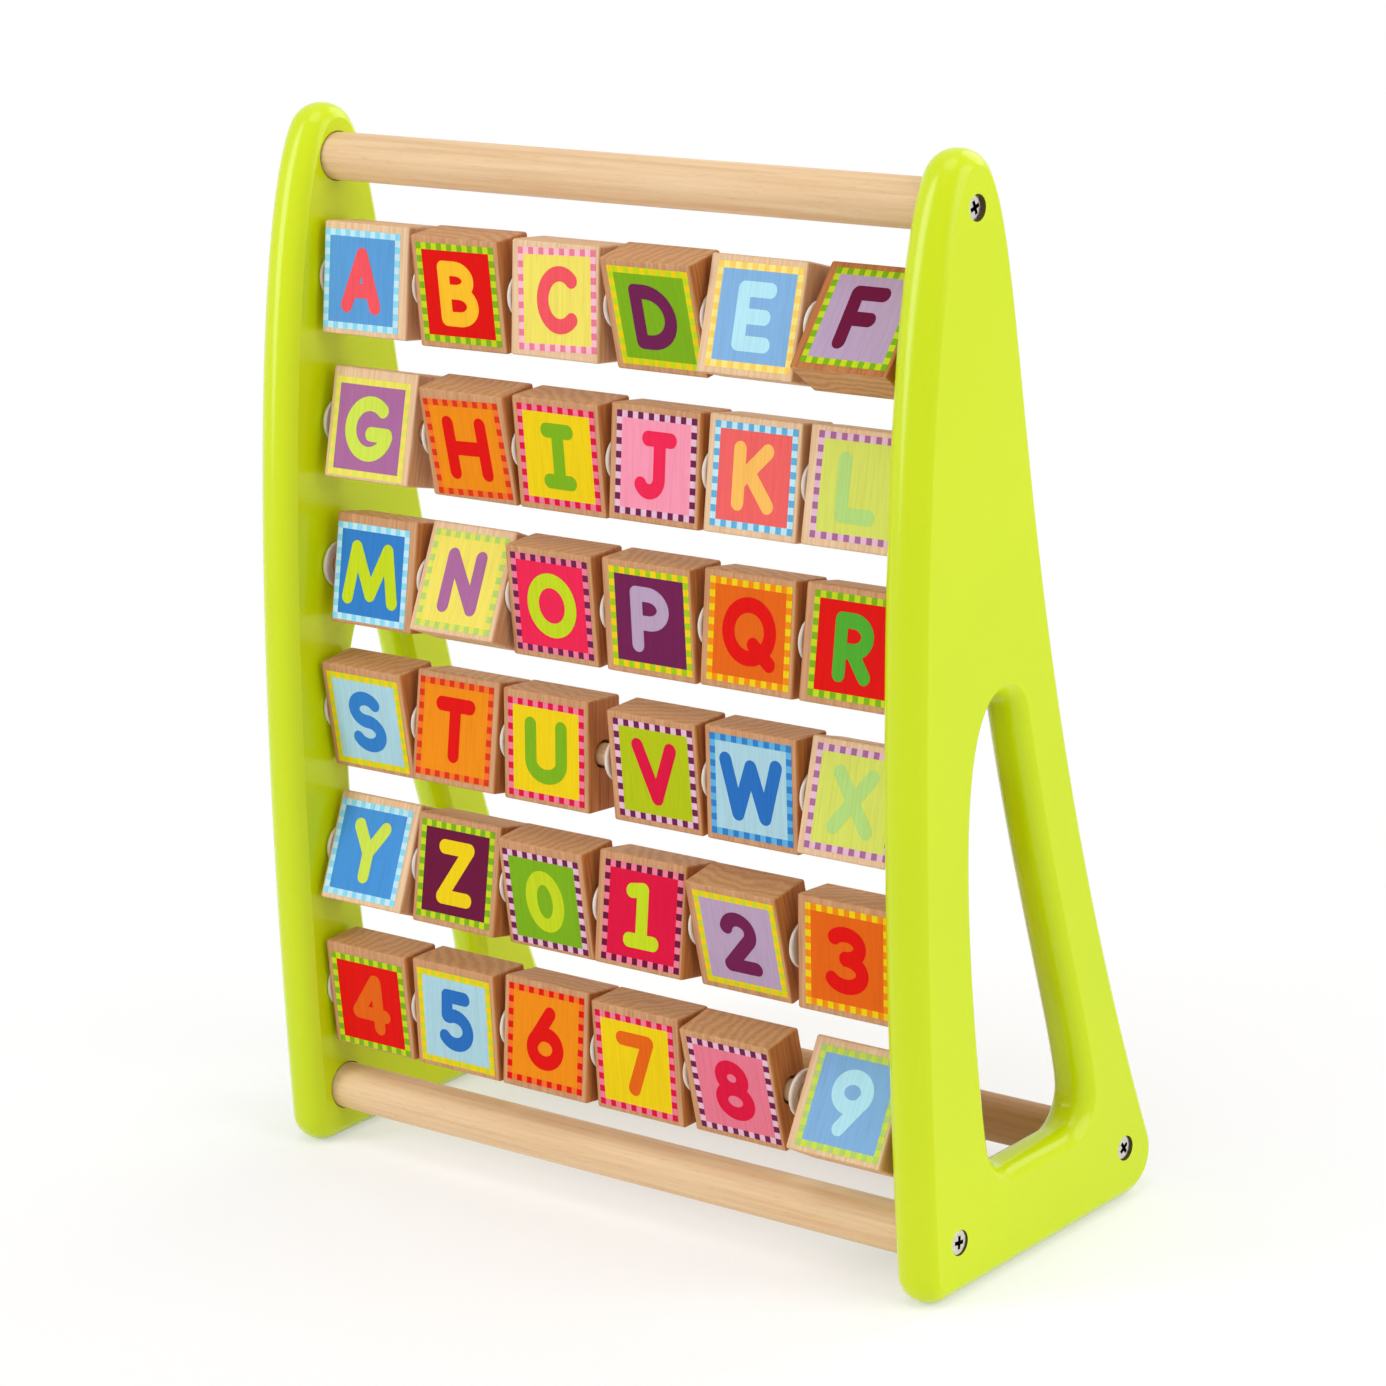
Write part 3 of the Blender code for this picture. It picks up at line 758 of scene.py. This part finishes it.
# field, letter, dark check, light check
prints = {
    "a": "cornflower coral aqua frost", "b": "red amber green lime", "c": "lemon coral rose blush",
    "d": "green purple yellow lime", "e": "powder ice peach butter", "f": "lavender plum green lime",
    "g": "mauve citron lemon sunLime", "h": "orange red flame tangerine",
    "i": "yellow green crimson rose", "j": "pink cherry purple lilac",
    "k": "salmon apricot skyBlue frost", "l": "paleLime mint mauve lilac", "m": "blue lime aqua frost",
    "n": "lemon mauve sage sunLime", "o": "cherry lime purple rose", "p": "purple lavender yellow grass",
    "q": "deepOrange red yellow orange", "r": "red leaf green lime", "s": "sky blue yellow limeYellow",
    "t": "orange red flame tangerine", "u": "yellow green crimson rose",
    "v": "oliveLime crimson purple lilac", "w": "sky deepBlue blue skyBlue",
    "x": "paleLime mint mauve lilac", "y": "midBlue citron aqua frost", "z": "plum yellow green lime",
    "0": "green lime purple lilac", "1": "crimson lime plum rose",
    "2": "lavender purple yellow limeYellow", "3": "deepOrange red yellow orange",
    "4": "red deepOrange green lime", "5": "sky deepBlue yellow limeYellow",
    "6": "orange red red tangerine", "7": "yellow deepOrange crimson rose",
    "8": "deepPink crimson purple lilac", "9": "powder ice sage citron",
}
label = {
    "width": 30.8 * mm, "height": 30.8 * mm, "checks": 15, "thickness": 0.16 * mm, "proud": 0.08 * mm,
    "letterHeight": 15.8 * mm, "stroke": 0.29, "letterThickness": 0.10 * mm, "letterProud": 0.05 * mm,
}
# prints that landed off centre: right and up in mm, then degrees anticlockwise
strays = {
    "a": (-1.5, -0.3, 0), "c": (1.0, 0.3, 2), "d": (0.7, 0, 0), "e": (1.0, 0, 0), "f": (1.0, 0, 0),
    "g": (-0.5, -1.2, 0), "h": (0, -0.7, 2), "j": (0.5, 0, 0), "k": (0.5, 0, 0), "l": (1.2, 0.3, 0),
    "m": (-1.3, -1.0, 0), "n": (0, -0.5, 0), "p": (0.8, 0, 0), "q": (0.5, 0, 0), "r": (1.3, 0, 0),
    "s": (0, -0.5, 0), "t": (-0.5, 0, 0), "u": (0, -0.5, 0), "v": (0.5, 0, 0), "x": (0.5, 0, 0),
    "y": (-1.0, -0.5, 0), "z": (-0.3, 0, 0), "0": (-0.3, -0.8, 0), "1": (0.8, -0.5, 0), "2": (0.8, 0, 0),
    "3": (1.0, 0, 0), "4": (0, -1.3, 0), "5": (0, -0.5, 0), "7": (-0.5, -0.5, 0), "8": (0.7, 0, 0),
    "9": (1.0, -0.5, 0),
}


def makeLabelTree():
    tree, inputs = startTree("checked label", (
        ("Width", "Float"), ("Height", "Float"), ("Checks", "Int"), ("Thickness", "Float"),
        ("Field", "Color"), ("Dark", "Color"), ("Light", "Color"), ("Ink", "Material")))
    weld = 0.001 * mm
    corners = addNode(tree, "ShaderNodeMath", {0: inputs["Checks"], 1: 1.0}, operation="ADD")
    sheet = addNode(tree, "GeometryNodeMeshGrid",
                    {"Size X": inputs["Width"], "Size Y": inputs["Height"],
                     "Vertices X": corners.outputs[0], "Vertices Y": corners.outputs[0]})
    spot = addNode(tree, "ShaderNodeSeparateXYZ", {0: addNode(tree, "GeometryNodeInputPosition").outputs[0]})
    halfChecks = addNode(tree, "ShaderNodeMath", {0: inputs["Checks"], 1: 0.5}, operation="MULTIPLY")
    rim = addNode(tree, "ShaderNodeMath", {0: halfChecks.outputs[0], 1: 1.0}, operation="SUBTRACT")
    cells, onRim = [], []
    for axis, size in ((0, "Width"), (1, "Height")):
        share = addNode(tree, "ShaderNodeMath", {0: spot.outputs[axis], 1: inputs[size]}, operation="DIVIDE")
        steps = addNode(tree, "ShaderNodeMath", {0: share.outputs[0], 1: inputs["Checks"]},
                        operation="MULTIPLY")
        fromLeft = addNode(tree, "ShaderNodeMath", {0: steps.outputs[0], 1: halfChecks.outputs[0]},
                           operation="ADD")
        cells.append(addNode(tree, "ShaderNodeMath", {0: fromLeft.outputs[0]}, operation="FLOOR"))
        away = addNode(tree, "ShaderNodeMath", {0: steps.outputs[0]}, operation="ABSOLUTE")
        onRim.append(addNode(tree, "ShaderNodeMath", {0: away.outputs[0], 1: rim.outputs[0]},
                             operation="GREATER_THAN"))
    count = addNode(tree, "ShaderNodeMath", {0: cells[0].outputs[0], 1: cells[1].outputs[0]},
                    operation="ADD")
    odd = addNode(tree, "ShaderNodeMath", {0: count.outputs[0], 1: 2.0}, operation="MODULO")
    border = addNode(tree, "ShaderNodeMath", {0: onRim[0].outputs[0], 1: onRim[1].outputs[0]},
                     operation="MAXIMUM")
    check = addNode(tree, "ShaderNodeMix", {0: odd.outputs[0], 6: inputs["Dark"], 7: inputs["Light"]},
                    data_type="RGBA")
    colour = addNode(tree, "ShaderNodeMix", {0: border.outputs[0], 6: inputs["Field"], 7: check.outputs[2]},
                     data_type="RGBA")
    inked = addNode(tree, "GeometryNodeStoreNamedAttribute",
                    {"Geometry": sheet.outputs[0], "Name": "ink", "Value": colour.outputs[2]},
                    data_type="FLOAT_COLOR", domain="FACE")
    raised = addNode(tree, "GeometryNodeExtrudeMesh",
                     {"Mesh": inked.outputs[0], "Offset Scale": inputs["Thickness"], "Individual": False})
    under = addNode(tree, "GeometryNodeFlipFaces", {"Mesh": inked.outputs[0]})
    closed = addNode(tree, "GeometryNodeJoinGeometry")
    tree.links.new(under.outputs[0], closed.inputs[0])
    tree.links.new(raised.outputs[0], closed.inputs[0])
    welded = addNode(tree, "GeometryNodeMergeByDistance", {"Geometry": closed.outputs[0], "Distance": weld})
    return endTree(tree, welded.outputs[0], inputs["Ink"])


def bow(x, y, acrossRadius, upRadius, start, end, step=10):
    # part of an ellipse as a stroke; a whole ring is two of them
    return [(x + acrossRadius * math.cos(a), y + upRadius * math.sin(a)) for a in spread(start, end, step)]


def ring(x, y, acrossRadius, upRadius):
    return [bow(x, y, acrossRadius, upRadius, 0, 180), bow(x, y, acrossRadius, upRadius, 180, 360)]


# centre lines of the strokes, in letter heights
stem = [(0, 0), (0, 1)]
bowlP = [[(0, 1), (0.24, 1)], bow(0.24, 0.72, 0.3, 0.28, 90, -90), [(0.24, 0.44), (0, 0.44)]]
strokes = {
    "a": [[(0, 0), (0.32, 1)], [(0.32, 1), (0.64, 0)], [(0.13, 0.3), (0.51, 0.3)]],
    "b": [stem, [(0, 1), (0.24, 1)], bow(0.24, 0.77, 0.26, 0.23, 90, -90),
          [(0.26, 0.54), (0, 0.54)], bow(0.27, 0.27, 0.29, 0.27, 90, -90), [(0.27, 0), (0, 0)]],
    "c": [bow(0.36, 0.5, 0.36, 0.5, 48, 312)],
    "d": [stem, [(0, 1), (0.18, 1)], bow(0.18, 0.5, 0.44, 0.5, 90, -90), [(0.18, 0), (0, 0)]],
    "e": [stem, [(0, 1), (0.52, 1)], [(0, 0.5), (0.46, 0.5)], [(0, 0), (0.52, 0)]],
    "f": [stem, [(0, 1), (0.52, 1)], [(0, 0.48), (0.42, 0.48)]],
    "g": [bow(0.36, 0.5, 0.36, 0.5, 50, 345), [(0.7, 0.4), (0.4, 0.4)]],
    "h": [stem, [(0.58, 0), (0.58, 1)], [(0, 0.5), (0.58, 0.5)]],
    "i": [[(0.21, 0), (0.21, 1)], [(0, 1), (0.42, 1)], [(0, 0), (0.42, 0)]],
    "j": [[(0.4, 1), (0.4, 0.26)], bow(0.2, 0.25, 0.2, 0.25, 0, -150), [(0.16, 1), (0.62, 1)]],
    "k": [stem, [(0.02, 0.4), (0.52, 1)], [(0.2, 0.56), (0.56, 0)]],
    "l": [[(0, 1), (0, 0)], [(0, 0), (0.48, 0)]],
    "m": [[(0, 0), (0.12, 1)], [(0.12, 1), (0.4, 0.1)], [(0.4, 0.1), (0.68, 1)], [(0.68, 1), (0.8, 0)]],
    "n": [stem, [(0, 1), (0.56, 0)], [(0.56, 0), (0.56, 1)]],
    "o": ring(0.38, 0.5, 0.38, 0.5),
    "p": [stem] + bowlP,
    "q": ring(0.38, 0.5, 0.38, 0.5) + [[(0.46, 0.26), (0.76, -0.06)]],
    "r": [stem] + bowlP + [[(0.24, 0.44), (0.52, 0)]],
    "s": [bow(0.3, 0.755, 0.27, 0.245, 35, 270), bow(0.3, 0.255, 0.29, 0.255, 90, -150)],
    "t": [[(0, 1), (0.62, 1)], [(0.31, 1), (0.31, 0)]],
    "u": [[(0, 1), (0, 0.3)], bow(0.28, 0.3, 0.28, 0.3, 180, 360), [(0.56, 0.3), (0.56, 1)]],
    "v": [[(0, 1), (0.3, 0)], [(0.3, 0), (0.6, 1)]],
    "w": [[(0, 1), (0.2, 0)], [(0.2, 0), (0.43, 0.92)], [(0.43, 0.92), (0.66, 0)], [(0.66, 0), (0.86, 1)]],
    "x": [[(0, 0), (0.56, 1)], [(0, 1), (0.56, 0)]],
    "y": [[(0, 1), (0.28, 0.48)], [(0.56, 1), (0.28, 0.48)], [(0.28, 0.48), (0.28, 0)]],
    "z": [[(0, 1), (0.54, 1)], [(0.54, 1), (0, 0)], [(0, 0), (0.54, 0)]],
    "0": ring(0.3, 0.5, 0.3, 0.5),
    "1": [[(0.22, 0), (0.22, 1)], [(0.22, 1), (0.02, 0.96)], [(0, 0), (0.44, 0)]],
    "2": [bow(0.27, 0.73, 0.25, 0.27, 165, -35), [(0.475, 0.575), (0, 0)], [(0, 0), (0.54, 0)]],
    "3": [bow(0.23, 0.765, 0.25, 0.235, 140, -90), bow(0.23, 0.265, 0.29, 0.265, 90, -145)],
    "4": [[(0.45, 1), (-0.02, 0.28)], [(-0.02, 0.28), (0.62, 0.28)], [(0.47, 1), (0.47, 0)]],
    "5": [[(0.48, 1), (0.08, 1)], [(0.08, 1), (0.05, 0.58)], bow(0.22, 0.3, 0.3, 0.3, 115, -145)],
    "6": ring(0.29, 0.29, 0.29, 0.29) + [[(0.03, 0.4), (0.38, 1)]],
    "7": [[(0, 1), (0.52, 1)], [(0.52, 1), (0.2, 0)]],
    "8": ring(0.29, 0.765, 0.23, 0.235) + ring(0.29, 0.265, 0.29, 0.265),
    "9": ring(0.29, 0.71, 0.29, 0.29) + [[(0.55, 0.6), (0.2, 0)]],
}

# how much wider than its centre lines say each letter is drawn
widths = {1.12: "efr8", 1.15: "as024569", 1.2: "bcjptz", 1.25: "dikoy7", 1.3: "lnq", 1.35: "gvx13",
          1.4: "uw", 1.45: "h", 1.5: "m"}
stretch = {letter: width for width, letters in widths.items() for letter in letters}


def strokeOutline(path, radius):
    # a stroke with round ends about a smooth centre line
    capStep = 15
    path = [Vector(p) for p in path]
    sides = []
    for i, point in enumerate(path):
        along = (path[min(i + 1, len(path) - 1)] - path[max(i - 1, 0)]).normalized()
        sides.append((point, Vector((-along.y, along.x)) * radius))
    left = [point + offset for point, offset in sides]
    right = [point - offset for point, offset in reversed(sides)]
    caps = []
    for point, offset in (sides[-1], (sides[0][0], -sides[0][1])):
        caps.append([point + Matrix.Rotation(-math.radians(turn), 2) @ offset
                     for turn in range(capStep, 180, capStep)])
    return (left + caps[0] + right + caps[1])[::-1]     # anticlockwise


def letterMesh(letter, name):
    # the strokes' shapes joined into one flat shape, then given a thickness
    corners, faces = [], []
    for path in strokes[letter]:
        ringPoints = strokeOutline([(x * stretch[letter], y) for x, y in path], label["stroke"] / 2)
        faces.append(list(range(len(corners), len(corners) + len(ringPoints))))
        corners += ringPoints
    allTriangles, sameSpot = 0, 1e-5
    points, _, triangles, _, _, sources = delaunay_2d_cdt(corners, [], faces, allTriangles, sameSpot)
    wide = [p.x for p in points]
    tall = [p.y for p in points]
    centre = Vector(((min(wide) + max(wide)) / 2, (min(tall) + max(tall)) / 2))
    bm = bmesh.new()
    placed = [bm.verts.new((*((p - centre) * label["letterHeight"]), 0)) for p in points]
    for triangle, source in zip(triangles, sources):
        if source:
            bm.faces.new([placed[i] for i in triangle])
    bmesh.ops.delete(bm, geom=[v for v in bm.verts if not v.link_faces], context="VERTS")
    grown = bmesh.ops.extrude_face_region(bm, geom=bm.faces[:])
    top = [item for item in grown["geom"] if isinstance(item, bmesh.types.BMVert)]
    bmesh.ops.translate(bm, verts=top, vec=(0, 0, label["letterThickness"]))
    return toMesh(name, bm, smooth=False)


def printBothFaces(mesh, place):
    # the same print on the front face and, turned round, on the rear face
    bm = bmesh.new()
    for turn in (0, math.pi):
        face = mesh.copy()
        face.transform(Matrix.Rotation(turn, 4, "Z") @ place)
        bm.from_mesh(face)
        bpy.data.meshes.remove(face)
    bm.to_mesh(mesh)
    bm.free()


def makePrint(letter, order, tree):
    field, figure, dark, light = (linear(inks[name]) for name in prints[letter].split())
    right, up, turn = strays.get(letter, (0, 0, 0))
    flat = Matrix.Translation((right * mm, up * mm, 0)) @ Matrix.Rotation(math.radians(turn), 4, "Z")
    onFront = Matrix.Translation((0, -blockSize.y / 2, 0)) @ Matrix.Rotation(math.pi / 2, 4, "X")
    labelMesh = growMesh("label", tree, bpy.data.meshes.new("label"), {
        "Width": label["width"], "Height": label["height"], "Checks": label["checks"],
        "Thickness": label["thickness"], "Field": field, "Dark": dark, "Light": light, "Ink": screenInk})
    sink = label["proud"] - label["thickness"]
    printBothFaces(labelMesh, onFront @ flat @ Matrix.Translation((0, 0, sink)))
    figureMesh = letterMesh(letter, "letter_" + letter)
    ink = figureMesh.attributes.new("ink", "FLOAT_COLOR", "FACE")
    ink.data.foreach_set("color", figure * len(figureMesh.polygons))
    lift = label["proud"] + label["letterProud"] - label["letterThickness"]
    printBothFaces(figureMesh, onFront @ flat @ Matrix.Translation((0, 0, lift)))
    for name, mesh in (("label_", labelMesh), ("letter_", figureMesh)):
        storeGrain(mesh, plankOffset(order))
        mesh.transform(blockPlace(letter))
        addPiece(name + letter, mesh, screenInk, "block_" + letter)


labelTree = makeLabelTree()
for order, letter in enumerate("".join(rows)):
    makeBlock(letter, order)
    makePrint(letter, order, labelTree)
print("blocks cut and printed")


# Stage: floor, light and camera

def seenShare(tree):
    # 1 for what the camera sees, straight, in a gloss or through something clear; 0 for light on the board
    path = addNode(tree, "ShaderNodeLightPath").outputs
    seen = addNode(tree, "ShaderNodeMath", {0: path["Is Camera Ray"], 1: path["Is Glossy Ray"]},
                   operation="MAXIMUM")
    shown = addNode(tree, "ShaderNodeMath", {0: seen.outputs[0], 1: path["Is Transmission Ray"]},
                    operation="MAXIMUM")
    return shown.outputs[0]


# metres out from the middle; leastFade lightens the shadow under the board
floorPaper = {"half": 8.0, "fadeStart": 0.10, "fadeEnd": 0.36, "leastFade": 0.35}


def makeFloor():
    # matt white studio paper: keeps the board's soft shadow, and fades to plain white farther out
    material, tree, shader = startMaterial("studio paper", Roughness=0.9)
    place = addNode(tree, "ShaderNodeTexCoord").outputs["Object"]
    cloudSize = 600 * mm
    _, tone = patches(tree, place, cloudSize, 1.0, ((0.3, "FBFBFB"), (0.7, "FFFFFF")))
    linkShader(tree, shader, Base_Color=tone)
    away = addNode(tree, "ShaderNodeVectorMath", {0: place}, operation="LENGTH")
    fade = addNode(tree, "ShaderNodeMapRange",
                   {"Value": away.outputs["Value"], "From Min": floorPaper["fadeStart"],
                    "From Max": floorPaper["fadeEnd"], "To Min": floorPaper["leastFade"]})
    white = addNode(tree, "ShaderNodeEmission", {"Strength": 1.0})
    share = addNode(tree, "ShaderNodeMath", {0: fade.outputs["Result"], 1: seenShare(tree)},
                    operation="MULTIPLY")
    paper = addNode(tree, "ShaderNodeMixShader",
                    {0: share.outputs[0], 1: shader.outputs[0], 2: white.outputs[0]})
    tree.links.new(paper.outputs[0], tree.nodes["Material Output"].inputs["Surface"])
    bm = bmesh.new()
    bmesh.ops.create_grid(bm, x_segments=1, y_segments=1, size=floorPaper["half"])
    floor = addObject("floor", toMesh("floor", bm, smooth=False))
    floor.data.materials.append(material)


lamps = {
    "key": {"place": (-1.15, -1.5, 1.0), "size": (0.8, 1.8), "power": 16.5},
    "side": {"place": (1.9, 0.2, 1.2), "size": (2.0, 2.0), "power": 21.5},
    "top": {"place": (0.1, -0.4, 2.0), "size": (1.4, 1.4), "power": 9.5},
    "rear": {"place": (0.25, 1.6, 1.45), "size": (1.5, 1.5), "power": 11.0},
}
aim = Vector((0, 0, 0.16))
for name, lamp in lamps.items():
    light = bpy.data.lights.new(name, "AREA")
    light.shape = "ELLIPSE"
    light.size, light.size_y = lamp["size"]
    light.energy = lamp["power"]
    item = addObject(name, light)
    item.location = lamp["place"]
    item.rotation_euler = (aim - Vector(lamp["place"])).to_track_quat("-Z", "Y").to_euler()

world = bpy.data.worlds.new("soft room")
world.use_nodes = True
scene.world = world
ambient = 0.42
background = world.node_tree.nodes["Background"]
background.inputs["Color"].default_value = linear("FFFFFF")
strength = addNode(world.node_tree, "ShaderNodeMapRange",
                   {"Value": seenShare(world.node_tree), "To Min": ambient})
world.node_tree.links.new(strength.outputs["Result"], background.inputs["Strength"])
makeFloor()

view = {"place": (0.8737, -1.0137, 0.5418), "azimuth": 40.605, "elevation": 16.128, "roll": -3.588,
        "lens": 117.56, "sensor": 36.0, "farClip": 50.0}
lens = bpy.data.cameras.new("camera")
lens.lens = view["lens"]
lens.sensor_width = view["sensor"]
lens.clip_end = view["farClip"]
camera = addObject("camera", lens)
camera.matrix_world = (
    Matrix.Translation(view["place"])
    @ Matrix.Rotation(math.radians(view["azimuth"]), 4, "Z")
    @ Matrix.Rotation(math.radians(90 - view["elevation"]), 4, "X")
    @ Matrix.Rotation(math.radians(view["roll"]), 4, "Z"))
scene.camera = camera
scene.view_settings.view_transform = "Standard"
print("stage lit")
